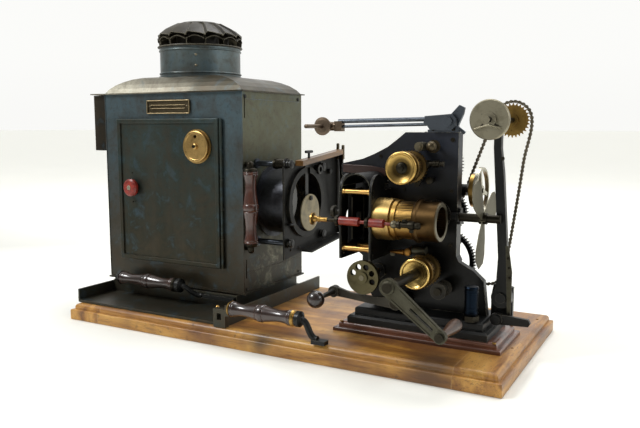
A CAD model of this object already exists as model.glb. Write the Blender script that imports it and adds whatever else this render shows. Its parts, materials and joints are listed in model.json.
"""Looks of the cinematograph lantern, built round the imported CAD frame.

Lengths in the helpers are millimetres in the row frame, as in the part's source:
+X along the optical axis, +Y away from the operator, +Z up, origin under the baseboard.
"""
import json
import math

import bmesh
import bpy
from mathutils import Matrix, Vector


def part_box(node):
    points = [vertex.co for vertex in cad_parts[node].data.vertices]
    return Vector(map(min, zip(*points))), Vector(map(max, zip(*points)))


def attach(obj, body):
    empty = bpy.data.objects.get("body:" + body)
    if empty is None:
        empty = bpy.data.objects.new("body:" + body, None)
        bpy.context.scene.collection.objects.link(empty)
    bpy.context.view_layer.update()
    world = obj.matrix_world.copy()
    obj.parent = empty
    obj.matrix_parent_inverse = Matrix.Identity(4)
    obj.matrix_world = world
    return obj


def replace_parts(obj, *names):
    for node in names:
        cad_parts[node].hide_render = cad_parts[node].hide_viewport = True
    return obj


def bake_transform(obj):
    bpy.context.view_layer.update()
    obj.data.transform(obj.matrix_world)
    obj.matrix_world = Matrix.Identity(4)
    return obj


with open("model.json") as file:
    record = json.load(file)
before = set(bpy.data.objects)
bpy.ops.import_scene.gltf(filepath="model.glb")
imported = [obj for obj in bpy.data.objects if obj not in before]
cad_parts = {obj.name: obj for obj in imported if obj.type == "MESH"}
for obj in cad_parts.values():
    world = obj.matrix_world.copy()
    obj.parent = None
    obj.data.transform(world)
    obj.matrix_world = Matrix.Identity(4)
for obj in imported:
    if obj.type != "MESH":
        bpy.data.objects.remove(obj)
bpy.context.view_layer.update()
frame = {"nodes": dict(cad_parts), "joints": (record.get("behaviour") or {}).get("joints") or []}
MM = 0.001
TAU = 2 * math.pi
AXES = {"X": Vector((1, 0, 0)), "Y": Vector((0, 1, 0)), "Z": Vector((0, 0, 1))}


def box_mm(node):
    """A CAD node's box as x0, x1, y0, y1, z0, z1 in millimetres."""
    low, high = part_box(node)
    return [round(value / MM, 3) for pair in zip(low, high) for value in pair]


def joint_at(name):
    """A joint's position in millimetres."""
    found = next(j for j in frame["joints"] if j["name"] == name)
    return Vector(found["pos_m"]) / MM


# ---------------------------------------------------------------- materials

def srgb(r, g, b):
    """Linear colour of an 8-bit display colour."""
    def linear(c):
        c /= 255
        return c / 12.92 if c <= 0.04045 else ((c + 0.055) / 1.055) ** 2.4
    return (linear(r), linear(g), linear(b), 1.0)


class Nodes:
    """Builds shader nodes in one tree, from one texture coordinate."""

    def __init__(self, tree, coordinate):
        self.tree = tree
        self.place = self.new("ShaderNodeTexCoord").outputs[coordinate]

    def new(self, kind, **settings):
        node = self.tree.nodes.new(kind)
        for key, value in settings.items():
            setattr(node, key, value)
        return node

    def put(self, socket, value):
        """Link or set a socket."""
        if isinstance(value, bpy.types.NodeSocket):
            self.tree.links.new(value, socket)
        else:
            socket.default_value = value

    def math(self, operation, a, b=0.0, clamp=False):
        node = self.new("ShaderNodeMath", operation=operation, use_clamp=clamp)
        self.put(node.inputs[0], a)
        self.put(node.inputs[1], b)
        return node.outputs[0]

    def stretched(self, scale):
        """The place, scaled along each axis."""
        node = self.new("ShaderNodeMapping")
        self.put(node.inputs["Vector"], self.place)
        node.inputs["Scale"].default_value = scale
        return node.outputs[0]

    def noise(self, scale, detail=4.0, rough=0.55, warp=0.0, at=None, seed=0.0):
        node = self.new("ShaderNodeTexNoise", noise_dimensions="4D")
        self.put(node.inputs["Vector"], at or self.place)
        for socket, value in (("W", seed), ("Scale", scale), ("Detail", detail), ("Roughness", rough),
                              ("Distortion", warp)):
            node.inputs[socket].default_value = value
        return node.outputs["Fac"]

    def fade(self, value, start, end):
        """0 at start and 1 at end, clamped."""
        node = self.new("ShaderNodeMapRange", clamp=True)
        limits = (value, min(start, end), max(start, end), float(start > end), float(start < end))
        for socket, limit in zip(("Value", "From Min", "From Max", "To Min", "To Max"), limits):
            self.put(node.inputs[socket], limit)
        return node.outputs[0]

    def shade(self, fac, *stops):
        """Colour ramp through (position, colour) stops."""
        node = self.new("ShaderNodeValToRGB")
        ramp = node.color_ramp
        while len(ramp.elements) < len(stops):
            ramp.elements.new(0.5)
        for element, (position, colour) in zip(ramp.elements, stops):
            element.position = position
            element.color = colour
        self.put(node.inputs[0], fac)
        return node.outputs[0]

    def mix(self, fac, a, b, mode="MIX"):
        node = self.new("ShaderNodeMix", data_type="RGBA", blend_type=mode)
        self.put(node.inputs[0], fac)
        self.put(node.inputs[6], a)
        self.put(node.inputs[7], b)
        return node.outputs[2]

    def along(self, axis):
        """One coordinate of the place, in metres."""
        node = self.new("ShaderNodeSeparateXYZ")
        self.put(node.inputs[0], self.place)
        return node.outputs[axis]

    def over(self, below, mask, strength, tone):
        """Lay an 8-bit tone over a colour where the mask is 1, at that strength."""
        return self.mix(self.math("MULTIPLY", mask, strength), below, srgb(*tone))

    def vector(self, operation, a, b, output="Vector"):
        node = self.new("ShaderNodeVectorMath", operation=operation)
        self.put(node.inputs[0], a)
        self.put(node.inputs[1], b)
        return node.outputs[output]

    def near(self, point, inner, outer):
        """1 within inner millimetres of a point, 0 beyond outer."""
        distance = self.vector("DISTANCE", self.place, [v * MM for v in point], "Value")
        return self.fade(distance, outer * MM, inner * MM)

    def turning(self, axis, centre, scale=900.0):
        """Fine lathe lines round an axis: noise that changes only with radius and with distance along it."""
        offset = self.vector("SUBTRACT", self.place, [v * MM for v in centre])
        flat = self.vector("MULTIPLY", offset, Vector((1, 1, 1)) - AXES[axis])
        parts = self.new("ShaderNodeSeparateXYZ")
        self.put(parts.inputs[0], offset)
        joined = self.new("ShaderNodeCombineXYZ")
        self.put(joined.inputs[0], self.vector("LENGTH", flat, (0, 0, 0), "Value"))
        self.put(joined.inputs[1], parts.outputs[axis])
        return self.noise(scale, 2.0, 0.6, at=joined.outputs[0])

    def edges(self, radius):
        """1 on edges and in corners, 0 on flats, found by rounding the normal over that many millimetres."""
        bevel = self.new("ShaderNodeBevel", samples=4)
        bevel.inputs["Radius"].default_value = radius * MM
        plain = self.new("ShaderNodeNewGeometry").outputs["Normal"]
        return self.fade(self.vector("DOT_PRODUCT", bevel.outputs[0], plain, "Value"), 0.985, 0.82)


class Look(Nodes):
    """One procedural material. Its coordinates are the row frame at rest, in metres."""

    def __init__(self, name, **fixed):
        self.material = bpy.data.materials.new(name)
        self.material.use_nodes = True
        super().__init__(self.material.node_tree, "Object")
        self.shader = self.tree.nodes["Principled BSDF"]
        for socket, value in fixed.items():
            self.shader.inputs[socket.replace("_", " ")].default_value = value
        self.height = None

    def bump(self, height, depth):
        """Add relief of that many millimetres under the relief already there."""
        node = self.new("ShaderNodeBump")
        node.inputs["Distance"].default_value = depth * MM
        node.inputs["Strength"].default_value = 1.0
        self.put(node.inputs["Height"], height)
        if self.height:
            self.put(node.inputs["Normal"], self.height)
        self.height = node.outputs[0]

    def done(self, colour, smoothest, pattern, span):
        """Finish with a roughness that runs from smoothest up by span where the pattern is 1."""
        self.put(self.shader.inputs["Base Color"], colour)
        self.put(self.shader.inputs["Roughness"], self.math("ADD", smoothest, self.math("MULTIPLY", pattern, span)))
        if self.height:
            self.put(self.shader.inputs["Normal"], self.height)
        return self.material


def oak(name, grain):
    """Old waxed oak: long grain, open pores, dents, dark stains and a worn sheen."""
    look = Look(name, Coat_Weight=0.35, Coat_Roughness=0.28)
    slow, fast = (1.0, 9.0) if grain == "X" else (9.0, 1.0)
    figure = look.noise(3.2, 5.0, 0.6, 1.4, look.stretched((slow, fast, 6.0)), 2.0)
    streak = look.noise(26.0, 3.0, 0.6, 0.2, look.stretched((slow * 0.5, fast, 8.0)), 5.0)
    pores = look.noise(150.0, 2.0, 0.5, 0.0, look.stretched((slow * 0.35, fast * 0.75, 6.0)), 7.0)
    patch = look.noise(7.0, 4.0, 0.6, 0.6, seed=3.0)
    grime = look.noise(60.0, 5.0, 0.7, 0.4, seed=9.0)
    tone = look.shade(figure, (0.30, srgb(96, 58, 20)), (0.46, srgb(152, 102, 38)),
                      (0.58, srgb(188, 136, 58)), (0.75, srgb(214, 168, 88)))
    tone = look.mix(look.fade(streak, 0.56, 0.74), tone, srgb(104, 58, 22))
    tone = look.over(tone, look.fade(pores, 0.60, 0.70), 0.65, (58, 30, 12))
    tone = look.over(tone, look.fade(patch, 0.47, 0.64), 0.72, (92, 52, 24))
    stains = look.math("MAXIMUM", look.near((292, -150, 28), 12, 62), look.near((20, -172, 20), 4, 26))
    tone = look.over(tone, look.math("MULTIPLY", stains, look.fade(patch, 0.30, 0.50)), 0.82, (42, 22, 12))
    tone = look.over(tone, look.fade(grime, 0.60, 0.72), 0.75, (52, 28, 14))
    worn = look.math("MULTIPLY", look.edges(2.2), look.fade(grime, 0.35, 0.6))
    tone = look.over(tone, worn, 0.55, (206, 172, 128))
    look.bump(look.noise(14.0, 3.0, 0.5, seed=4.0), 0.7)
    look.bump(pores, -0.16)
    look.bump(look.fade(grime, 0.60, 0.75), -0.25)
    return look.done(tone, 0.30, grime, 0.36)


def polished_wood(name, grain, dark, light, gloss=0.16, coat=0.8):
    """French-polished hardwood with grain along one axis."""
    look = Look(name, Coat_Weight=coat, Coat_Roughness=gloss)
    scale = [9.0 if axis != grain else 1.0 for axis in "XYZ"]
    figure = look.noise(9.0, 5.0, 0.62, 0.8, look.stretched(scale), 2.0)
    pores = look.noise(95.0, 2.0, 0.5, 0.0, look.stretched(scale), 6.0)
    rubbed = look.noise(26.0, 4.0, 0.6, 0.3, seed=8.0)
    tone = look.shade(figure, (0.32, srgb(*dark)), (0.68, srgb(*light)))
    tone = look.over(tone, look.fade(pores, 0.56, 0.68), 0.6, (18, 8, 6))
    rub = look.math("MULTIPLY", look.edges(1.4), look.fade(rubbed, 0.4, 0.62))
    tone = look.over(tone, rub, 0.6, (150, 92, 62))
    look.bump(pores, -0.08)
    look.bump(rubbed, 0.10)
    return look.done(tone, 0.24, rubbed, 0.28)


def sheet_steel(name, low, high, start, end, wear=None, axis="Z", mottle=1.3):
    """Blued sheet, low toned at start and high toned at end, mottled, with drips and rubbed edges."""
    look = Look(name, Metallic=0.55, Specular_IOR_Level=0.45)
    cloud = look.noise(9.0, 6.0, 0.62, 0.5, seed=1.0)
    streaks = look.noise(34.0, 4.0, 0.6, 0.3, look.stretched((1.0, 1.0, 0.10)), 3.0)
    fine = look.noise(420.0, 3.0, 0.7, 0.0, seed=5.0)
    lift = look.fade(look.along(axis), start * MM, end * MM)
    shift = look.math("MULTIPLY", look.math("SUBTRACT", cloud, 0.5), mottle)
    tone = look.mix(look.math("ADD", lift, shift, clamp=True), srgb(*low), srgb(*high))
    patina = look.noise(30.0, 6.0, 0.68, 0.9, seed=13.0)
    scale = look.noise(120.0, 5.0, 0.7, 0.4, seed=17.0)
    tone = look.over(tone, look.fade(patina, 0.46, 0.64), 0.42, (66, 52, 34))
    tone = look.over(tone, look.fade(patina, 0.46, 0.32), 0.40, (66, 92, 108))
    tone = look.over(tone, look.fade(scale, 0.52, 0.66), 0.30, (34, 28, 20))
    tone = look.over(tone, look.fade(streaks, 0.45, 0.75), 0.35, (70, 62, 50))
    tone = look.over(tone, look.fade(fine, 0.62, 0.74), 0.35, (24, 20, 18))
    if wear:
        rubbed = look.noise(38.0, 8.0, 0.75, 0.8, seed=7.0)
        mask = look.math("MULTIPLY", look.fade(rubbed, 0.50, 0.62), look.near(*wear))
        tone = look.over(tone, mask, 0.7, (132, 132, 112))
    rim = look.math("MULTIPLY", look.edges(1.0), look.fade(streaks, 0.30, 0.55))
    tone = look.over(tone, rim, 0.5, (128, 112, 96))
    look.bump(look.noise(5.0, 2.0, 0.5, seed=11.0), 1.2)
    look.bump(fine, 0.03)
    return look.done(tone, 0.26, cloud, 0.30)


def enamel_iron(name, tone, bare=(122, 118, 106), edge=0.9, cover=0.5, gloss=0.30, top=None):
    """Stove-enamelled iron: nearly black, chipped back to pale metal along its edges.

    top is the heights between which another tone comes in, and that tone."""
    look = Look(name, Specular_IOR_Level=0.26, Coat_Weight=0.10, Coat_Roughness=0.22)
    chips = look.noise(85.0, 6.0, 0.68, 0.4, seed=2.0)
    cloud = look.noise(13.0, 4.0, 0.6, 0.3, seed=4.0)
    dust = look.noise(260.0, 3.0, 0.7, seed=6.0)
    colour = look.mix(look.fade(cloud, 0.38, 0.66), srgb(*tone), srgb(*[v * 1.75 for v in tone]))
    colour = look.over(colour, look.fade(dust, 0.60, 0.72), 0.25, (60, 54, 42))
    if top:
        lift = look.fade(look.along("Z"), top[0] * MM, top[1] * MM)
        colour = look.over(colour, lift, look.fade(cloud, 0.3, 0.6), top[2])
    chipped = look.fade(chips, 0.62 - cover * 0.4, 0.70 - cover * 0.3)
    colour = look.over(colour, look.edges(edge), chipped, bare)
    look.bump(look.noise(160.0, 3.0, 0.6, seed=8.0), 0.06)
    look.bump(cloud, 0.3)
    return look.done(colour, gloss, chips, 0.24)


def worn_metal(look, tone, tarnish, cloud, clouded, spots, spotted, lines, relief):
    """Colour and relief of bare metal. clouded and spotted are fades: start, end, strength."""
    colour = look.over(srgb(*tone), look.fade(cloud, *clouded[:2]), clouded[2], tarnish)
    colour = look.over(colour, look.fade(spots, *spotted[:2]), spotted[2], spotted[3])
    look.bump(lines, relief[0])
    look.bump(cloud, relief[1])
    return colour


def steel(name, tone, tarnish, axis=None, centre=(0, 0, 0), gloss=0.30, grain=(1, 1, 1), amount=0.5):
    """Bare or blued steel with brushed or turned lines and brown tarnish in clouds."""
    look = Look(name, Metallic=1.0)
    lines = look.turning(axis, centre) if axis else look.noise(420.0, 3.0, 0.6, 0.0, look.stretched(grain), 2.0)
    cloud = look.noise(38.0, 6.0, 0.66, 0.7, seed=3.0)
    spots = look.noise(210.0, 4.0, 0.7, 0.2, seed=5.0)
    colour = worn_metal(look, tone, tarnish, cloud, (0.66 - 0.3 * amount, 0.74, 0.8),
                        spots, (0.62, 0.70, 0.7, (48, 38, 28)), lines, (0.035, 0.05))
    colour = look.over(colour, look.edges(0.7), 0.45, [min(255, v * 1.35 + 14) for v in tone])
    return look.done(colour, gloss, look.math("ADD", cloud, lines), 0.16)


def brass(name, tone, tarnish, axis="Y", centre=(0, 0, 0), gloss=0.14, amount=0.4, bowl=None):
    """Lacquered brass with lathe lines, tarnish in clouds and dirt in its bowl: centre, radii, strength."""
    look = Look(name, Metallic=1.0)
    lines = look.turning(axis, centre)
    cloud = look.noise(30.0, 6.0, 0.66, 0.9, seed=3.0)
    spots = look.noise(230.0, 4.0, 0.7, 0.3, seed=5.0)
    colour = worn_metal(look, tone, tarnish, cloud, (0.70 - 0.36 * amount, 0.76, 0.85),
                        spots, (0.60, 0.70, 0.75, (62, 40, 20)), lines, (0.04, 0.06))
    if bowl:
        colour = look.over(colour, look.near(*bowl[:3]), bowl[3], (34, 26, 16))
    return look.done(colour, gloss, look.math("ADD", cloud, lines), 0.17)


def red_fibre(name, axis, centre, light):
    """Turned vulcanised fibre, scuffed and dirty in its lathe lines; light scales its tones."""
    look = Look(name, Coat_Weight=0.3, Coat_Roughness=0.2)
    lines = look.turning(axis, centre, 1400.0)
    scuff = look.noise(120.0, 5.0, 0.7, 0.3, seed=2.0)
    reds = ((0.35, (132, 26, 14)), (0.60, (186, 50, 28)), (0.75, (206, 84, 56)))
    colour = look.shade(scuff, *[(at, [v * light for v in srgb(*tone)]) for at, tone in reds])
    colour = look.over(colour, look.fade(lines, 0.58, 0.70), 0.6, (74, 14, 10))
    look.bump(lines, 0.08)
    return look.done(colour, 0.28, scuff, 0.35)


def cream_enamel(name):
    """Pale painted disc, chipped and smudged."""
    look = Look(name, Metallic=0.25)
    smudge = look.noise(48.0, 5.0, 0.62, 0.5, seed=2.0)
    chips = look.noise(170.0, 5.0, 0.7, 0.2, seed=4.0)
    colour = look.shade(smudge, (0.34, srgb(94, 88, 70)), (0.52, srgb(134, 124, 96)), (0.72, srgb(152, 142, 112)))
    colour = look.over(colour, look.fade(chips, 0.64, 0.70), 0.8, (70, 56, 40))
    look.bump(chips, -0.05)
    return look.done(colour, 0.32, smudge, 0.3)


def lens_glass(name, low=(226, 238, 232), high=(244, 248, 242)):
    """Old lens glass between two tints, with a little dust."""
    look = Look(name, Transmission_Weight=1.0, IOR=1.52)
    dust = look.noise(300.0, 5.0, 0.7, seed=2.0)
    haze = look.noise(40.0, 3.0, 0.6, seed=4.0)
    colour = look.shade(haze, (0.3, srgb(*low)), (0.7, srgb(*high)))
    return look.done(colour, 0.02, look.fade(dust, 0.6, 0.75), 0.25)


LENS_AT = Vector((0, -75, 208))     # the optical axis of the film head
ROD_Y, ROD_Z = -114.5, 206.0        # the focusing rod's line
UPPER_AT, CRANK_AT, BEATER_AT = joint_at("upper_sprocket_spin"), joint_at("crank_turn"), joint_at("beater_spin")
TOP_AT, REEL_TIP = joint_at("takeup_spin"), joint_at("reel_spindle_spin")
FLY_AT, KNOB_AT, SIGHT_AT = joint_at("governor_spin"), joint_at("door_knob_turn"), joint_at("sight_cover_turn")

OAK_LONG, OAK_CROSS = oak("oak_long", "X"), oak("oak_cross", "Y")
MAHOGANY = polished_wood("mahogany", "X", (52, 26, 16), (118, 68, 42), 0.16, 0.6)
GRIP_X = polished_wood("grip_wood_x", "X", (18, 9, 6), (58, 29, 18), 0.1, 0.9)
GRIP_Y = polished_wood("grip_wood_y", "Y", (34, 22, 15), (88, 62, 46), 0.36, 0.3)
GRIP_Z = polished_wood("grip_wood_z", "Z", (30, 12, 6), (92, 42, 22), 0.1, 0.9)
EBONY = polished_wood("ebonised_ball", "Y", (14, 9, 8), (44, 24, 18), 0.1, 0.9)
STRIP_WOOD = polished_wood("strip_wood", "Y", (66, 42, 18), (134, 96, 46), 0.3, 0.3)
WALLS = sheet_steel("blued_walls", (50, 46, 34), (80, 97, 104), 80, 400)
DOOR = sheet_steel("blued_door", (36, 37, 24), (54, 68, 66), 110, 410)
ROOF = sheet_steel("blued_roof", (158, 154, 138), (56, 52, 38), -370, -180, axis="X", mottle=1.3)
WALL_RIGHT = sheet_steel("blued_end_wall", (35, 34, 22), (88, 90, 70), 110, 330, ((-87, 40, 96), 10, 100),
                         mottle=0.9)
VENT = sheet_steel("vent_sheet", (30, 28, 22), (44, 40, 32), 300, 400)
STACK = sheet_steel("blued_stack", (78, 90, 92), (98, 112, 114), 425, 500)
COWL = enamel_iron("scaled_cowl", (30, 27, 20), (118, 112, 94), 1.6, 0.9, 0.42)
TRAY = sheet_steel("tray_sheet", (44, 44, 36), (66, 66, 56), 20, 60)
IRON = enamel_iron("black_enamel", (11, 12, 12))
PLATE = enamel_iron("frame_enamel", (5, 5, 4), (176, 170, 148), 1.0, 0.5, 0.30, (236, 330, (44, 48, 58)))
HOOD = enamel_iron("hood_enamel", (6, 6, 5), (126, 122, 104), 0.8, 0.6, 0.38)
STAGE = enamel_iron("stage_enamel", (5, 5, 3), (124, 116, 94), 0.8, 0.4, 0.5)
BARREL = steel("barrel_steel", (92, 94, 100), (30, 28, 24), "X", (0, 39, 208), 0.24, amount=0.75)
CAST = enamel_iron("cast_grey", (34, 32, 26), (112, 106, 90), 1.2, 0.6, 0.42)
GREY = steel("grey_steel", (122, 116, 98), (74, 66, 50))
BRIGHT = steel("bright_steel", (176, 172, 156), (108, 96, 76), gloss=0.2)
DARK = steel("dark_steel", (50, 47, 40), (30, 24, 17), gloss=0.28)
BLUED = steel("blued_steel", (92, 98, 106), (50, 48, 46), gloss=0.24, grain=(0.06, 1, 1), amount=0.4)
BLUED_Z = steel("blued_post", (20, 28, 38), (12, 14, 15), gloss=0.2, grain=(1, 1, 0.06), amount=0.3)
ARM = steel("worn_arm", (84, 82, 70), (46, 42, 32), gloss=0.36, amount=0.8)
DISC = steel("turned_disc", (154, 148, 128), (92, 84, 64), "Y", TOP_AT, 0.30)
BLADES = steel("shutter_sheet", (112, 108, 92), (84, 78, 62), gloss=0.42, amount=0.3)
TIP = steel("reel_tip", (112, 98, 84), (72, 58, 44), "Y", REEL_TIP, 0.3)
CHAIN_STEEL = steel("chain_steel", (112, 104, 88), (56, 48, 38), gloss=0.34, amount=0.7)
LENS_BRASS = brass("lens_brass", (190, 152, 84), (84, 64, 36), "X", LENS_AT, 0.16, 0.45)
JACKET_BRASS = brass("jacket_brass", (196, 164, 102), (96, 76, 44), "X", LENS_AT, 0.2, 0.5)
COLLAR_BRASS = brass("collar_brass", (86, 66, 40), (48, 38, 26), "X", LENS_AT, 0.22, 0.6)
UPPER_BRASS = brass("upper_ring_brass", (206, 170, 98), (92, 72, 40), "Y", UPPER_AT, 0.14, 0.4,
                    bowl=((UPPER_AT.x, -98, UPPER_AT.z), 13, 20, 0.86))
LOWER_BRASS = brass("lower_ring_brass", (226, 192, 116), (112, 86, 48), "Y", CRANK_AT, 0.12, 0.3,
                    bowl=((CRANK_AT.x, -98, CRANK_AT.z), 9, 15, 0.5))
DRUM_BRASS = brass("sprocket_brass", (104, 84, 50), (58, 46, 28), "Y", CRANK_AT, 0.26, 0.7)
BEATER_BRASS = brass("beater_brass", (98, 92, 68), (66, 60, 42), "Y", BEATER_AT, 0.32, 0.6)
SIGHT_BRASS = brass("sight_brass", (184, 152, 96), (104, 82, 48), "Y", SIGHT_AT, 0.24, 0.6)
CHAIN_BRASS = brass("chain_wheel_brass", (176, 142, 78), (70, 52, 30), "Y", TOP_AT, 0.2, 0.6,
                    bowl=((TOP_AT.x, 50, TOP_AT.z), 6, 26, 0.4))
CONE_BRASS = brass("governor_brass", (176, 140, 76), (80, 58, 32), "X", FLY_AT, 0.14, 0.5)
PILLAR_BRASS = brass("pillar_brass", (196, 156, 92), (118, 88, 52), "X", (0, -99, 249), 0.16, 0.3)
OLD_BRASS = brass("old_brass", (90, 81, 64), (52, 46, 34), "Z", (0, 0, 0), 0.3, 0.8)
SCREW_BRASS = brass("screw_brass", (168, 134, 74), (92, 70, 40), "X", (0, 0, 0), 0.2, 0.4)
RED_SLEEVE = red_fibre("red_sleeve", "X", (0, ROD_Y, ROD_Z), 0.50)
RED_KNOB = red_fibre("red_knob", "Y", KNOB_AT, 0.62)
CREAM = cream_enamel("cream_dowser")
EDGE_WOOD = polished_wood("edge_wood", "X", (30, 17, 12), (62, 36, 28), 0.4, 0.1)
TRAP = enamel_iron("trap_black", (4, 4, 4), (20, 20, 18), 0.6, 0.1, 0.7)
NAME_RIM = brass("name_rim", (168, 150, 116), (96, 84, 62), "Z", (0, 0, 0), 0.3, 0.5)
LIP = enamel_iron("plate_lip", (20, 20, 18), (132, 128, 112), 1.6, 0.7, 0.3)
PEG_BRASS = brass("peg_brass", (150, 108, 54), (84, 56, 30), "X", (0, -58, 156), 0.24, 0.6)
GLASS = lens_glass("lens_glass")
DEEP_GLASS = lens_glass("condenser_glass", (46, 40, 30), (70, 62, 48))


def paint(node, base, *patches):
    """Give a CAD node its material; each patch is (material, test on a face's middle in mm)."""
    thing = frame["nodes"][node]
    thing.data.materials.clear()
    for material in (base, *[p[0] for p in patches]):
        thing.data.materials.append(material)
    for face in thing.data.polygons:
        middle = face.center / MM
        found = [i + 1 for i, (_, test) in enumerate(patches) if test(middle)]
        face.material_index = found[-1] if found else 0


def within(centre, reach, axis="Y"):
    """Test for faces within a radius of a line along an axis through a centre."""
    drop = Vector((1, 1, 1)) - AXES[axis]
    return lambda p: ((p - Vector(centre)) * drop).length < reach


def outside(centre, reach, axis):
    """Test for faces beyond a radius of a line along an axis through a centre."""
    drop = Vector((1, 1, 1)) - AXES[axis]
    return lambda p: ((p - Vector(centre)) * drop).length > reach


def both(*tests):
    """Test for faces that pass every one of the tests."""
    return lambda p: all(test(p) for test in tests)


PLAIN = {
    "baseboard": OAK_LONG, "board_cleats": OAK_CROSS, "plinth": MAHOGANY, "iron_base": IRON,
    "board_grip": GRIP_X, "frame_plate": PLATE, "rear_bridge": IRON, "gate_hood": HOOD,
    "lens_jacket": JACKET_BRASS, "shutter_bearing": IRON, "takeup_bracket": IRON, "reel_bracket": BLUED,
    "chain": CHAIN_STEEL, "carriage": TRAY, "lamphouse_roof": ROOF, "chimney": STACK, "cowl": COWL,
    "vent_box": VENT, "nameplate": OLD_BRASS, "door_hinge": DOOR, "condenser_barrel": BARREL,
    "condenser_lenses": DEEP_GLASS, "slide_stage": STAGE, "burner": OLD_BRASS, "door": DOOR,
    "sight_cover": SIGHT_BRASS, "dowser": CREAM, "lens_glasses": GLASS, "upper_ring": UPPER_BRASS,
    "lower_ring": LOWER_BRASS, "crank_arm": ARM, "idler_wheel": IRON, "speed_wheels": GREY,
    "pressure_gate": DARK, "guide_roller": CAST, "clamp_lever": IRON, "reel_spindle": TIP
}
for plain_node, plain_material in PLAIN.items():
    paint(plain_node, plain_material)
paint("lantern_rails", TRAY, (PILLAR_BRASS, lambda p: -82.5 < p.x < -74.5 and p.z > 33))
paint("board_grip_mounts", IRON, (SCREW_BRASS, lambda p: abs(p.x + 40.5) < 3 or abs(p.x - 76.5) < 3))
paint("frame_post", BLUED_Z, (DARK, lambda p: p.z < 74.1))
paint("film_gate", HOOD, (PILLAR_BRASS, lambda p: 125.5 < p.x < 169.5 and (p.y < -94.1 or p.z < 169)),
      (TRAP, lambda p: 129 < p.x < 142 and p.y > -94.1 and p.z > 169))
paint("film_guides", DARK, (OLD_BRASS, within((249, 0, 316.5), 11)), (DARK, lambda p: p.y < -104),
      (GREY, within((229, 0, 316), 8)))
paint("lamphouse_shell", WALLS, (WALL_RIGHT, lambda p: p.x > -88.9))
paint("lamphouse_grips", GRIP_X, (GRIP_Z, lambda p: p.x > -90))
paint("grip_mounts", IRON, (DARK, lambda p: abs(p.x + 341.5) < 4 or abs(p.x + 211.5) < 4),
      (DARK, lambda p: p.x > -90))
paint("stage_rods", BLUED, (IRON, lambda p: p.x > -23))
paint("stage_fittings", IRON, (STRIP_WOOD, lambda p: p.z > 276 and not (abs(p.x + 15) < 4 and abs(p.y - 42) < 12)
                               and not (p.x < -20 and p.z < 280)))
paint("door_knob", RED_KNOB, (OLD_BRASS, lambda p: p.y > -62.3))
paint("lens_barrel", LENS_BRASS, (COLLAR_BRASS, lambda p: p.x > 235.5), (GREY, lambda p: p.x > 270.9))
paint("focus_rod", DARK, (SCREW_BRASS, lambda p: p.x < 106.1), (RED_SLEEVE, lambda p: 126.1 < p.x < 207),
      (GREY, lambda p: 207 < p.x < 218.5))
paint("upper_sprocket", DARK, (DRUM_BRASS, lambda p: -87 < p.y < -50), (IRON, lambda p: 26 < p.y < 36))
paint("crank_shaft", DARK, (DRUM_BRASS, lambda p: -87 < p.y < -50), (IRON, lambda p: 26 < p.y < 36),
      (GREY, lambda p: 49 < p.y < 61))
paint("crank_grip", GRIP_Y, (DARK, lambda p: p.y < -189.9))
paint("beater", GREY, (BEATER_BRASS, both(lambda p: p.y < -86.5, outside(BEATER_AT, 4.5, "Y"))))
paint("shutter", DARK, (BLADES, lambda p: 321.9 < p.x < 323.3))
paint("governor", DARK, (CONE_BRASS, both(lambda p: 281.9 < p.x < 296.1, outside(FLY_AT, 4.2, "X"))),
      (BRIGHT, lambda p: p.x > 298.4))
paint("framing_lever", CAST, (EBONY, lambda p: p.y < -130))
paint("takeup_arm", IRON, (ARM, lambda p: p.y < -31.9 and p.z < 175 and p.x > 354))
paint("takeup_spindle", DARK, (DISC, lambda p: p.y < -73.9), (CHAIN_BRASS, lambda p: p.y > 49))
paint("reel_arm", BLUED, (TIP, lambda p: p.x < 93))


# ---------------------------------------------------------------- detailed pieces

def ring_points(axis, radius, at, count, phase=0.0):
    """Points on a circle round an axis, in metres."""
    side = AXES["X"] if axis == "Y" else AXES["Y"]
    other = AXES[axis].cross(side)
    turns = [phase + TAU * i / count for i in range(count)]
    return [(Vector(at) + (side * math.cos(t) + other * math.sin(t)) * radius) * MM for t in turns]


def bridge(mesh, rings, closed=True):
    """Faces from each ring of vertices to the next, and over both ends if closed."""
    for near, far in zip(rings, rings[1:]):
        for i, j in zip(range(len(near)), [*range(1, len(near)), 0]):
            mesh.faces.new((near[i], near[j], far[j], far[i]))
    if closed:
        mesh.faces.new(rings[0][::-1])
        mesh.faces.new(rings[-1])


def lathe(mesh, axis, at, profile, count=48):
    """Closed turned solid from (distance along the axis, radius) points."""
    rings = []
    for along, radius in profile:
        centre = Vector(at) + AXES[axis] * along
        rings.append([mesh.verts.new(p) for p in ring_points(axis, max(radius, 0.02), centre, count)])
    bridge(mesh, rings)


def sweep(mesh, path, radius, sides=8):
    """Round bar along a path of points, closed at both ends; radius may be one value or a list."""
    points = [Vector(p) for p in path]
    radii = radius if isinstance(radius, list) else [radius] * len(points)
    turns = [TAU * k / sides for k in range(sides)]
    rings = []
    for i, point in enumerate(points):
        way = (points[min(i + 1, len(points) - 1)] - points[max(i - 1, 0)]).normalized()
        side = way.orthogonal() if i == 0 else (side - way * side.dot(way))
        side.normalize()
        other = way.cross(side)
        rings.append([mesh.verts.new((point + (side * math.cos(t) + other * math.sin(t)) * radii[i]) * MM)
                      for t in turns])
    bridge(mesh, rings)


def slab(mesh, outline, push):
    """Prism: an outline of points moved along a vector."""
    low = [mesh.verts.new(Vector(p) * MM) for p in outline]
    high = [mesh.verts.new((Vector(p) + Vector(push)) * MM) for p in outline]
    bridge(mesh, [low, high])


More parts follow.
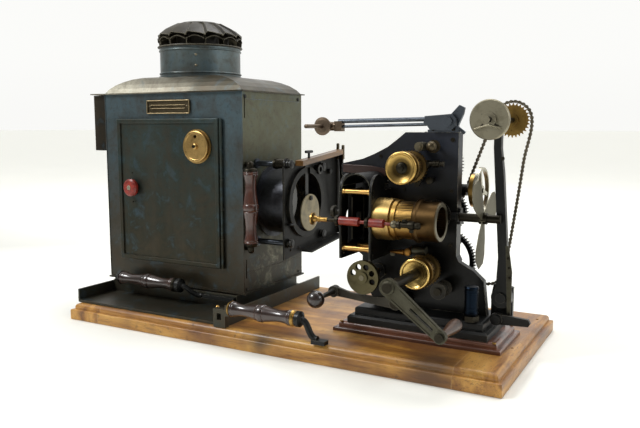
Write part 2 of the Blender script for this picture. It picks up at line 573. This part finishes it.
def leaf(mesh, corners, thickness):
    """Thin bent sheet through rows of points, thickened along its normals."""
    rows = [[Vector(p) for p in row] for row in corners]
    def normal(r, c):
        down = rows[min(r + 1, len(rows) - 1)][c] - rows[max(r - 1, 0)][c]
        across = rows[r][min(c + 1, len(rows[r]) - 1)] - rows[r][max(c - 1, 0)]
        return down.cross(across).normalized()
    wide = len(rows[0])
    front, back = [], []
    for r, row in enumerate(rows):
        front.append([mesh.verts.new(p * MM) for p in row])
        back.append([mesh.verts.new((p + normal(r, c) * thickness) * MM) for c, p in enumerate(row)])
    for r in range(len(rows) - 1):
        for c in range(wide - 1):
            mesh.faces.new((front[r][c], front[r][c + 1], front[r + 1][c + 1], front[r + 1][c]))
            mesh.faces.new((back[r][c], back[r + 1][c], back[r + 1][c + 1], back[r][c + 1]))
    rim = [(0, c) for c in range(wide)] + [(r, wide - 1) for r in range(1, len(rows))]
    rim += [(len(rows) - 1, c) for c in range(wide - 2, -1, -1)] + [(r, 0) for r in range(len(rows) - 2, 0, -1)]
    for (r, c), (rr, cc) in zip(rim, rim[1:] + rim[:1]):
        mesh.faces.new((front[r][c], back[r][c], back[rr][cc], front[rr][cc]))


def piece(name, material, body, build, smooth=35.0, bevel=0.0):
    """Make one piece from a bmesh builder, finish it and let it ride a body, if it has just one."""
    work = bmesh.new()
    build(work)
    bmesh.ops.recalc_face_normals(work, faces=work.faces)
    mesh = bpy.data.meshes.new(name)
    work.to_mesh(mesh)
    work.free()
    mesh.materials.append(material)
    thing = bpy.data.objects.new(name, mesh)
    bpy.context.scene.collection.objects.link(thing)
    if smooth:
        for face in mesh.polygons:
            face.use_smooth = True
        mesh.set_sharp_from_angle(angle=math.radians(smooth))
    if bevel:
        round_off = thing.modifiers.new("round", "BEVEL")
        round_off.width = bevel * MM
        round_off.segments = 2
        round_off.limit_method = "ANGLE"
        round_off.angle_limit = math.radians(40)
    if body:
        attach(thing, body)
    return thing


def turned(name, material, body, slot, *parts, smooth=40.0):
    """A piece of turned solids, each an axis, its start, its (distance, radius) points and its sides."""
    def build(mesh):
        for part in parts:
            lathe(mesh, *part)
    return piece(name, material, body, build, smooth)


def screw_head(mesh, at, out, radius, turn=0.4, height=1.4):
    """Slotted screw head: a shallow drum with two half-round lands either side of its slot."""
    out = Vector(out).normalized()
    side = Matrix.Rotation(turn, 3, out) @ out.orthogonal().normalized()
    other = out.cross(side)
    start, middle = Vector(at), out * height * 0.5

    def spoke(t, reach):
        return start + side * math.cos(t) * reach + other * math.sin(t) * reach

    slab(mesh, [spoke(TAU * i / 20, radius) for i in range(20)], middle)
    land, slot, ends = radius * 0.94, radius * 0.11, 0.12
    turns = [ends + (math.pi - 2 * ends) * i / 12 for i in range(13)]
    for sign in (1, -1):
        outline = [start + middle + side * math.cos(t) * land + other * sign * max(math.sin(t) * land, slot)
                   for t in turns]
        slab(mesh, outline, middle)


STACK_AT = Vector((-250, 40, 0))
COWL_LOW, COWL_HIGH = box_mm("cowl")[4:]


def on_stack(radius, degrees, z):
    turn = math.radians(degrees)
    return STACK_AT + Vector((radius * math.cos(turn), radius * math.sin(turn), z))


def cowl(mesh):
    """Smoke cowl: rolled rim, inner drum, a low row of arched petals and overlapping upper leaves."""
    low, high = COWL_LOW, COWL_HIGH
    foot, tall = (STACK_AT.x, STACK_AT.y, low), high - low
    lathe(mesh, "Z", foot, [(0, 66), (0, 76), (0.6, 78.6), (1.8, 79.4), (3.0, 78.8), (2.4, 76), (2.4, 66)], 96)
    lathe(mesh, "Z", foot, [(1, 57), (1, 60), (30, 60), (30, 57)], 72)
    lathe(mesh, "Z", foot, [(34, 20), (36, 46), (tall - 5, 43), (tall - 2, 34), (tall - 0.6, 14), (tall, 2)], 72)
    count = 14
    step = 360.0 / count
    for i in range(count):
        a = i * step + 6
        petal = []
        for radius, z, bow in ((61.5, low + 19.0, 3.0), (70.5, low + 15.0, 5.0), (78.6, low + 11.5, 5.5)):
            petal.append([on_stack(radius, a + step * (0.05 + 0.9 * k / 6), z + bow * math.sin(math.pi * k / 6))
                          for k in range(7)])
        leaf(mesh, petal, 1.0)
        sides = [on_stack(r, a + step * 0.02, low + z) for r, z in ((61.5, 3), (76.5, 3), (77.5, 11.5), (61.5, 18))]
        slab(mesh, sides, Vector((1, 0, 0)) * 1.2)
        upper = []
        for radius, z, fold in ((78.4, low + 19.5, 6.4), (67, low + 28.5, 6.6), (44.0, high - 9.0, 5.6),
                                (34.0, high - 5.2, 2.5)):
            row = []
            for k in range(7):
                share = k / 6
                lift = fold * (1.0 - share) ** 0.7 if share > 0.14 else fold * share * 2.0 - 1.2
                row.append(on_stack(radius, a + step * (-0.06 + 1.10 * share), min(z + lift, high - 1.6)))
            upper.append(row)
        leaf(mesh, upper, 1.3)


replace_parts(piece("smoke_cowl", COWL, "lamphouse", cowl, 28.0), "cowl")


SLACK = ((288, 95.5, -1.62), (312, 96, -1.36), (328, 107, -0.62), (334, 127, -0.26), (337.5, 150, -0.17),
         (345.5, 206, -0.14), (356.5, 292, -0.12))


def chain_path():
    """Evenly spaced stations round the chain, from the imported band's own outline."""
    top, low = Vector((TOP_AT.x, 0, TOP_AT.z)), Vector((CRANK_AT.x, 0, CRANK_AT.z))
    top_r, low_r = 25.5 + 3.3, 11.2 + 3.3
    line = math.atan2(low.z - top.z, low.x - top.x)
    left = line - math.acos((top_r - low_r) / (low - top).length)

    def on(centre, radius, turn):
        return centre + Vector((math.cos(turn), 0, math.sin(turn))) * radius

    right_top, right_low = math.radians(4), math.radians(-110)
    path = [on(top, top_r, left), on(low, low_r, left)]
    path += [on(low, low_r, left + (right_low + TAU - left) % TAU * i / 12) for i in range(1, 13)]
    sag = [on(low, low_r, right_low)] + [Vector((x, 0, z)) for x, z, _ in SLACK]
    sag.append(on(top, top_r, right_top))
    slopes = [right_low] + [lean for _, _, lean in SLACK] + [right_top]
    for i in range(len(sag) - 1):
        span = (sag[i + 1] - sag[i]).length
        a = Vector((-math.sin(slopes[i]), 0, math.cos(slopes[i]))) * span
        b = Vector((-math.sin(slopes[i + 1]), 0, math.cos(slopes[i + 1]))) * span
        for k in range(1, 13):
            t = k / 12
            path.append(sag[i] * (2 * t**3 - 3 * t**2 + 1) + a * (t**3 - 2 * t**2 + t)
                        + sag[i + 1] * (3 * t**2 - 2 * t**3) + b * (t**3 - t**2))
    path += [on(top, top_r, right_top + (left + TAU - right_top) % TAU * i / 16) for i in range(1, 17)]
    lengths = [0.0]
    for a, b in zip(path, path[1:]):
        lengths.append(lengths[-1] + (b - a).length)
    count = 2 * round(lengths[-1] / 6.4 / 2)
    stations = []
    for i in range(count):
        want = lengths[-1] * i / count
        k = next(j for j in range(1, len(lengths)) if lengths[j] >= want)
        share = (want - lengths[k - 1]) / max(lengths[k] - lengths[k - 1], 1e-6)
        stations.append(path[k - 1].lerp(path[k], share))
    return stations


def chain_links(mesh):
    """Roller chain: waisted side plates, inner and outer by turns, and a roller at each pin."""
    stations = chain_path()
    for i, point in enumerate(stations):
        ahead = stations[(i + 1) % len(stations)]
        way = (ahead - point).normalized()
        up = Vector((-way.z, 0, way.x))
        span = (ahead - point).length
        middle = Vector((0, 55, 0))
        half = [(-2.2, 1.1), (-1.2, 2.3), (0.9, 2.3), (span / 2, 1.1), (span - 0.9, 2.3), (span + 1.2, 2.3),
                (span + 2.2, 1.1)]
        outline = [point + way * along + up * out + middle
                   for along, out in half + [(along, -out) for along, out in half[::-1]]]
        off = 2.75 if i % 2 else 1.95
        for side in (-off, off - 0.7):
            slab(mesh, [p + Vector((0, side, 0)) for p in outline], (0, 0.7, 0))
        pin = [(0, 0.9), (0.3, 1.3), (1.1, 1.3), (1.1, 1.7), (4.7, 1.7), (4.7, 1.3), (5.5, 1.3), (5.8, 0.9)]
        lathe(mesh, "Y", point + middle + Vector((0, -2.9, 0)), pin, 8)


links = piece("chain_links", CHAIN_STEEL, None, chain_links, 0)
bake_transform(links)
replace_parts(links, "chain")


def turned_grip(length):
    """Outline of a turned handle: flared ends with fine rings, waists, and a ringed bead in the middle."""
    h = length / 2
    half = [(0.0, 10.6), (0.6, 12.0), (2.2, 12.5), (3.4, 12.0), (3.9, 11.5), (4.6, 12.0), (6.5, 12.1),
            (0.14 * h, 11.3), (0.25 * h, 9.8), (0.36 * h, 9.1), (0.50 * h, 9.3), (0.64 * h, 10.2), (0.76 * h, 11.3),
            (0.84 * h, 12.2), (0.875 * h, 12.5), (0.885 * h, 11.9), (0.90 * h, 11.9), (0.912 * h, 12.9),
            (0.94 * h, 13.6), (h, 13.9)]
    return half + [(length - s, r) for s, r in half[-2::-1]]


def grip_piece(name, material, axis, body, low, high):
    """A ringed handle along an axis, between the corners of its box."""
    start = (Vector(low) + Vector(high)) / 2
    along = "XYZ".index(axis)
    start[along] = low[along]
    outline = turned_grip(high[along] - low[along])
    return piece(name, material, body, lambda mesh: lathe(mesh, axis, start, outline), 50.0)


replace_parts(grip_piece("board_handle", GRIP_X, "X", "base", *[Vector(p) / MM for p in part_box("board_grip")]),
            "board_grip")
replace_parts(grip_piece("front_handle", GRIP_X, "X", "lamphouse", (-339, -106, 52), (-214, -78, 80)),
            "lamphouse_grips")
grip_piece("side_handle", GRIP_Z, "Z", "lamphouse", (-84, -75, 147), (-56, -47, 271))


def dished_ring(name, material, centre, radius, body, node):
    """Sprocket cheek: rolled bright rim round a dished bowl."""
    front = box_mm(node)[2]
    dish = ((4.1, 0.45), (2.8, 0.62), (1.2, 0.76), (0.9, 0.80), (-0.1, 0.83), (-0.8, 0.87), (-1.0, 0.92),
            (-0.5, 0.97), (0.7, 1), (2.2, 0.995), (3.0, 0.95), (4.0, 0.93), (5.2, 0.9), (7.5, 0.8))
    outline = [(7.5, 4.1), (4.5, 4.1), (4.5, 9.0)] + [(s, radius * share) for s, share in dish]
    at = (centre.x, front + 1.5, centre.z)

    def build(mesh):
        rings = [[mesh.verts.new(p) for p in ring_points("Y", r, Vector(at) + Vector((0, s, 0)), 72)]
                 for s, r in outline]
        bridge(mesh, rings + rings[:1], closed=False)

    thing = piece(name, material, body, build, 50.0)
    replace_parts(thing, node)


dished_ring("upper_dish", UPPER_BRASS, UPPER_AT, 24.0, "upper_line", "upper_ring")
dished_ring("lower_dish", LOWER_BRASS, CRANK_AT, 23.0, "crank", "lower_ring")


# Stepped dark nut in the middle of the upper dish.
turned("upper_dish_nut", DARK, "upper_line", "grey_steel",
       ("Y", (UPPER_AT.x, -101.5, UPPER_AT.z),
        [(0, 2.5), (0.6, 4.2), (3.2, 4.6), (3.4, 6.6), (4.0, 7.4), (5.0, 8.6), (6.0, 8.2)], 32))


def screws(name, material, body, heads):
    """Several slotted screws on one body: (point, outward direction, radius)."""
    def build(mesh):
        for i, (at, out, radius) in enumerate(heads):
            screw_head(mesh, at, out, radius, 0.4 + 1.1 * i)
    piece(name, material, body, build, 40.0)


FRONT, RIGHT, UP = (0, -1, 0), (1, 0, 0), (0, 0, 1)
screws("wall_screws", IRON, "lamphouse", [((-86.9, y, 396.5), RIGHT, 3.4) for y in (-50, 126)] +
       [((-86.9, y, 63.5), RIGHT, 2.4) for y in (-50, 126)])
screws("door_rivets", DARK, "door", [((KNOB_AT.x, -65.1, KNOB_AT.z + up), FRONT, 1.5) for up in (27, -27)])
screws("plinth_screws", SCREW_BRASS, "base",
       [((x, y, 42.0), UP, 3.0) for x in (114, 355) for y in (-82, 21)])
screws("frame_screws", DARK, "base", [((x, -32.1, z), FRONT, r) for x, z, r in
       ((272, 326, 3.4), (272, 250, 3.0), (272, 168, 3.0), (156, 300, 2.6), (130, 268, 2.6), (308, 84, 3.4),
        (160, 76, 3.0), (196, 250, 2.4), (140, 130, 2.6))])
screws("gate_screws", DARK, "base",
       [((174.1, y, z), RIGHT, 2.6) for y, z in ((-99, 249), (-99, 163), (-44, 160), (-44, 262))])
screws("bracket_screws", DARK, "base", [((x, -32.0, 341.5), FRONT, 2.6) for x in (241, 272)])
screws("knob_screw", BRIGHT, "door_knob", [((KNOB_AT.x, -75.3, KNOB_AT.z), FRONT, 4.4)])
screws("sight_screw", DARK, "sight_cover", [((SIGHT_AT.x, -73.2, SIGHT_AT.z), FRONT, 3.0)])


def stage_spring(mesh):
    """Coil spring and washers on the upper front rod, before the stage plate."""
    centre = Vector((0, -18, 282))
    coil = []
    for i in range(97):
        turn = TAU * i / 16
        coil.append(centre + Vector((-44 + 16.5 * i / 96, 7.0 * math.cos(turn), 7.0 * math.sin(turn))))
    sweep(mesh, coil, 1.15, 8)
    for x, r in ((-48.5, 8.6), (-45.5, 9.4)):
        lathe(mesh, "X", (x, -18, 282), [(0, 5.2), (0, r), (1.8, r), (1.8, 5.2)], 28)


def stage_studs(mesh):
    """Pin at the stage's front edge, a knurled socket, and the strip's end bracket."""
    lathe(mesh, "X", (-23, -19.5, 178), [(0, 2.2), (9, 2.2), (9, 3.2), (14, 3.2), (15, 2.0)], 16)
    lathe(mesh, "X", (-23, 82, 268), [(0, 8.6), (9, 8.6), (9.6, 7.6), (10, 7.6), (10, 5.0), (6, 4.4)], 32)
    lathe(mesh, "X", (-23, 128, 262), [(0, 5), (7, 5), (8, 3.6)], 16)
    sweep(mesh, [(-14, 150, 176), (-12, 149, 214), (-10, 146, 244), (-9, 144, 262), (-11, 146, 284)],
          [2.2, 2.8, 3.0, 2.8, 2.2], 8)
    for y in (-8, 20, 66, 118):
        lathe(mesh, "X", (-23, y, 287 if y > 60 else 132), [(0, 2.6), (1.2, 2.4), (1.9, 1.2)], 14)


piece("stage_spring", DARK, "lamphouse", stage_spring, 50.0)
piece("stage_studs", IRON, "lamphouse", stage_studs, 40.0)


def strip_bracket(mesh):
    """Two worn uprights that close the strip's far end."""
    for x, z in ((-22, 12), (-11, 9)):
        outline = [(x, 160, 283), (x, 166, 283), (x, 166, 300 + z), (x, 164, 302 + z), (x, 161, 301 + z)]
        slab(mesh, outline, (4.5, 0, 0))


piece("strip_bracket", OLD_BRASS, "lamphouse", strip_bracket, 30.0, 0.6)


def edge_band(mesh):
    """Red-brown hardwood filler along the frame plate's upper left edge."""
    outline = ((92, 273.5), (166, 268.5), (166, 280.5), (140, 284.5), (92, 286))
    slab(mesh, [(x, -35.5, z) for x, z in outline], (0, 3.4, 0))


piece("edge_band", EDGE_WOOD, "base", edge_band, 30.0, 0.7)


def gate_trap(mesh):
    """Black back sheet inside the gate."""
    corners = ((125.6, 150), (169.4, 150), (169.4, 256), (125.6, 256))
    slab(mesh, [(x, -33.4, z) for x, z in corners], (0, 1.2, 0))


piece("gate_trap", TRAP, "base", gate_trap, 30.0, 0.3)


def plate_lips(mesh):
    """Rounded lips on the front edges of the gate plates, swelling round the focusing rod's eyes."""
    for x in (123, 172):
        path = [(x, -105.6, z) for z in (148, 160, 180, 192)]
        path += [(x, -107.5, 197), (x, -107.8, 216), (x, -105.6, 221), (x, -105.6, 236), (x, -105.2, 249)]
        sweep(mesh, path, [1.6, 1.7, 1.7, 1.9, 2.0, 2.0, 1.9, 1.7, 1.5], 10)


piece("plate_lips", LIP, "base", plate_lips, 60.0)


# Steel knuckles and screws of the focusing rod's joint.
turned("focus_beads", DARK, "lens", "grey_steel",
       ("X", (219, ROD_Y, ROD_Z), [(0, 4.3), (0.6, 5.6), (4.6, 6.2), (5.4, 4.3)], 28),
       ("X", (236, ROD_Y, ROD_Z), [(0, 4.3), (0.6, 5.8), (5.6, 6.6), (9, 6.2), (9.6, 4.3)], 28),
       ("X", (247, ROD_Y, ROD_Z), [(0, 4.0), (0.8, 4.9), (3.4, 5.1), (6.4, 4.6), (7.4, 2.2)], 28),
       ("Z", (230, ROD_Y, ROD_Z + 5.2), [(0, 3.6), (2.6, 3.6), (3.4, 2.2)], 18),
       ("Z", (241, ROD_Y, ROD_Z - 10.5), [(0, 2.4), (0.8, 3.2), (5, 3.2)], 18))

# Small worn disc on a stalk at the gate's light side.
turned("marker_disc", CAST, "base", "old_brass",
       ("X", (100, -88, 216), [(0, 2), (1, 8.4), (5.5, 9.2), (6.5, 8.4), (7, 3), (20.8, 3)], 30))


def guide_details(mesh):
    """Nuts, collars and the sprung grip's coils on the upper guide lever."""
    lathe(mesh, "Y", (238, -56.5, 290), [(0, 3.2), (0.8, 5.8), (3.6, 6.2), (5.4, 5.6)], 24)
    for i in range(4):
        lathe(mesh, "X", (250 + i * 2.4, -53, 291), [(0, 4.0), (0.5, 5.3), (1.6, 5.3), (2.1, 4.0)], 22)
    lathe(mesh, "X", (263.5, -53, 291), [(0, 3.2), (0.5, 4.4), (2.6, 4.4), (3.4, 2.2)], 20)
    lathe(mesh, "Y", (243, -52, 266), [(0, 3.0), (0.8, 5.4), (5, 5.4), (5.6, 4.0)], 24)
    sweep(mesh, [(222, -53, 262), (224, -54, 272), (230, -54, 282), (236, -53, 288)], [2.0, 2.6, 2.6, 2.0], 8)


piece("guide_details", DARK, "base", guide_details, 40.0)


# Pointed brass film peg, and the roller under it, between lens and crank.
turned("film_pegs", PEG_BRASS, "base", "old_brass",
       ("X", (184, -58, 156),
        [(0, 0.6), (3, 2.2), (12, 3.4), (20, 3.6), (21, 4.8), (24, 4.8), (24.6, 3.0), (30, 3.0)], 24),
       ("Y", (214, -62, 157), [(0, 3.2), (1, 5.8), (29.5, 5.8)], 24))

# Brown steel pad roller over the lower sprocket, and its pin into the frame plate.
turned("pad_roller", ARM, "base", "grey_steel",
       ("X", (222, -58, 161), [(0, 2.5), (0, 6.4), (1.5, 7.0), (20, 7.0), (21.5, 6.4), (21.5, 2.5)], 30),
       ("Y", (232, -52, 161), [(0, 4.2), (19.5, 4.2)], 20))


def crank_fork(mesh):
    """Bolt, washer and edge ribs of the crank arm."""
    turn = math.radians(-38)
    way = Vector((math.cos(turn), 0, math.sin(turn)))
    up = Vector((-way.z, 0, way.x))
    for side in (1, -1):
        points = [CRANK_AT + way * d + up * side * (9.6 - 0.028 * d) for d in (14, 40, 60, 82)]
        sweep(mesh, [(p.x, -198.2, p.z) for p in points], 0.9, 6)
    cap = [(0, 4.4), (0.8, 5.8), (1.2, 8.6), (2.2, 9.6), (4.0, 9.8)]
    lathe(mesh, "Y", (CRANK_AT.x, -201.6, CRANK_AT.z), cap, 32)


piece("crank_fork", ARM, "crank", crank_fork, 40.0)


# Turned bands on the corner post.
turned("post_rings", BLUED_Z, "base", "blued_steel",
       *[("Z", (316, -66, z), [(0, 9.3), (0.6, r), (2.2, r), (2.8, 9.3)], 40)
         for z, r in ((84, 10.1), (107, 10.2))])


def wire_latch(mesh):
    """Bent wire latch on the take-up disc."""
    x, y, z = TOP_AT.x, -80.9, TOP_AT.z
    bends = ((-12, 0, -10), (-8, -0.6, -5.5), (-2, -0.8, -3.5), (4, -0.8, -4.5), (9, -0.6, -7.5), (13, 0, -8))
    sweep(mesh, [(x + a, y + b, z + c) for a, b, c in bends], 0.8, 8)
    lathe(mesh, "Y", (x, y - 0.6, z + 7), [(0, 1.2), (0.4, 2.6), (2, 2.6)], 16)
    lathe(mesh, "Y", (x - 1, y - 0.4, z - 1), [(0, 1.0), (0.3, 1.8), (1.4, 1.9)], 16)


piece("wire_latch", DARK, "takeup_spindle", wire_latch, 50.0)


# Holes' bushes of the adjusting strip and bolts of the take-up arm.
turned("arm_fittings", DARK, "takeup_arm", "grey_steel",
       *[("Y", (x, -33.2, z), [(0, 1.0), (0.3, 2.0), (1.2, 2.2)], 14)
         for z, x in ((74, 362.2), (128, 362), (142, 360.6), (156, 359))],
       ("Y", (346, -32.6, 300), [(0, 1.4), (0.4, 2.8), (1.6, 3.0)], 16),
       ("Y", (TOP_AT.x, -38.2, TOP_AT.z), [(0, 8.2), (0.4, 9.2), (1.0, 9.2)], 28))


def plate_border(mesh):
    """Raised rim and two plain rules on the maker's plate."""
    low, high = [Vector(v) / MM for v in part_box("nameplate")]
    y = low.y - 0.5
    x0, x1, z0, z1 = low.x + 1.2, high.x - 1.2, low.z + 1.2, high.z - 1.2
    corners = [(x0, y, z0), (x1, y, z0), (x1, y, z1), (x0, y, z1)]
    for a, b in zip(corners, corners[1:] + corners[:1]):
        sweep(mesh, [a, b], 0.9, 8)
    for share in (0.38, 0.64):
        z = z0 + (z1 - z0) * share
        sweep(mesh, [(x0 + 9, y + 0.3, z), (x1 - 9, y + 0.3, z)], 0.5, 8)


piece("plate_border", NAME_RIM, "lamphouse", plate_border, 50.0)


def seams(mesh):
    """Folded seams: the front wall's upright corner seams and the stack's standing seam."""
    for x in (-401.4, -87.6):
        sweep(mesh, [(x, -58.3, z) for z in (60, 160, 260, 404)], 0.9, 6)
    for z in (392, 92):
        sweep(mesh, [(-86.8, -48, z), (-86.7, 40, z), (-86.8, 130, z)], 0.45, 6)
    lathe(mesh, "Z", (-198, -15, 470), [(0, 0.5), (0.2, 0.8)], 6)


piece("wall_seams", WALLS, "lamphouse", seams, 60.0)


def stack_rivets(mesh):
    """Round rivets up the stack's seam and along its curb."""
    for degrees, z in ((-58, 474), (-58, 455), (122, 474), (122, 455)):
        at = on_stack(74.6, degrees, z)
        out = (at - STACK_AT - Vector((0, 0, z))).normalized()
        sweep(mesh, [at, at + out * 0.9, at + out * 1.5], [2.4, 2.2, 1.0], 14)


piece("stack_rivets", GREY, "lamphouse", stack_rivets, 60.0)


# ---------------------------------------------------------------- stage, light and camera

SKY_TILT = 0.45                     # share of height in the sky's brightness, beside depth
SKY_DARK, SKY_BRIGHT, SKY_BAND = (0.14, 0.14, 0.13, 1), (0.97, 0.97, 0.95, 1), (0.95, 0.95, 0.93, 1)
FLOOR_REACH = 60.0                  # metres
LENS_MM, SENSOR_MM = 39.2, 36.0


def surround():
    """World light: bright behind and above the object, darker toward the viewer, with a pale band at eye level."""
    world = bpy.data.worlds.new("surround")
    world.use_nodes = True
    sky = Nodes(world.node_tree, "Generated")
    lift = sky.math("ADD", sky.math("MULTIPLY", sky.along("Z"), SKY_TILT), sky.along("Y"))
    ramp = sky.shade(lift, (0.0, SKY_DARK), (0.55, SKY_BRIGHT))
    band = sky.fade(sky.math("ABSOLUTE", sky.along("Z")), 0.09, 0.02)
    sky.put(sky.tree.nodes["Background"].inputs[0], sky.mix(band, ramp, SKY_BAND))
    sky.tree.nodes["Background"].inputs[1].default_value = 1.0
    bpy.context.scene.world = world


def studio():
    """Pale floor and soft lights."""
    grid = bmesh.new()
    bmesh.ops.create_grid(grid, x_segments=2, y_segments=2, size=FLOOR_REACH)
    mesh = bpy.data.meshes.new("floor")
    grid.to_mesh(mesh)
    floor = bpy.data.objects.new("floor", mesh)
    floor.location.z = -0.0006
    bpy.context.scene.collection.objects.link(floor)
    look = Look("pale_floor", Specular_IOR_Level=0.2)
    cloth = look.noise(3.0, 3.0, 0.5)
    colour = look.shade(cloth, (0.3, srgb(238, 238, 232)), (0.7, srgb(244, 244, 238)))
    front = look.math("MAXIMUM", look.near((0, 0, 0), 850, 1700), look.fade(look.along("Y"), -0.3, 0.7))
    colour = look.mix(front, srgb(150, 150, 146), colour)
    beyond = look.math("SUBTRACT", 1.0, look.near((0, 0, 0), 500, 2200))
    far = look.math("MULTIPLY", look.fade(look.along("Y"), -0.1, 1.2), beyond)
    look.put(look.shader.inputs["Emission Color"], colour)
    look.put(look.shader.inputs["Emission Strength"], look.math("MULTIPLY", far, 0.42))
    mesh.materials.append(look.done(colour, 0.7, cloth, 0.2))
    aim = Vector((0, 0, 0.2))
    lights = (("key", (-1.3, -1.3, 1.9), 0.7, 42.0), ("side", (2.2, 0.1, 1.2), 1.0, 12.0),
              ("top", (0.1, 0.9, 2.3), 1.4, 34.0))
    for name, place, size, power in lights:
        lamp = bpy.data.lights.new(name, "AREA")
        lamp.size = size
        lamp.energy = power
        thing = bpy.data.objects.new(name, lamp)
        thing.location = place
        thing.rotation_mode = "QUATERNION"
        thing.rotation_quaternion = (aim - thing.location).to_track_quat("-Z", "Y")
        bpy.context.scene.collection.objects.link(thing)


def camera():
    """Camera at the object's right front, a little above it."""
    lens = bpy.data.cameras.new("camera")
    lens.sensor_width = SENSOR_MM
    lens.lens = LENS_MM
    lens.clip_start = 0.05
    thing = bpy.data.objects.new("camera", lens)
    thing.location = (0.5971, -1.0343, 0.3453)
    thing.rotation_mode = "QUATERNION"
    thing.rotation_quaternion = Vector((-0.4768, 0.8702, -0.1243)).to_track_quat("-Z", "Y")
    bpy.context.scene.collection.objects.link(thing)
    bpy.context.scene.camera = thing


surround()
studio()
camera()
bpy.context.scene.view_settings.view_transform = "Standard"
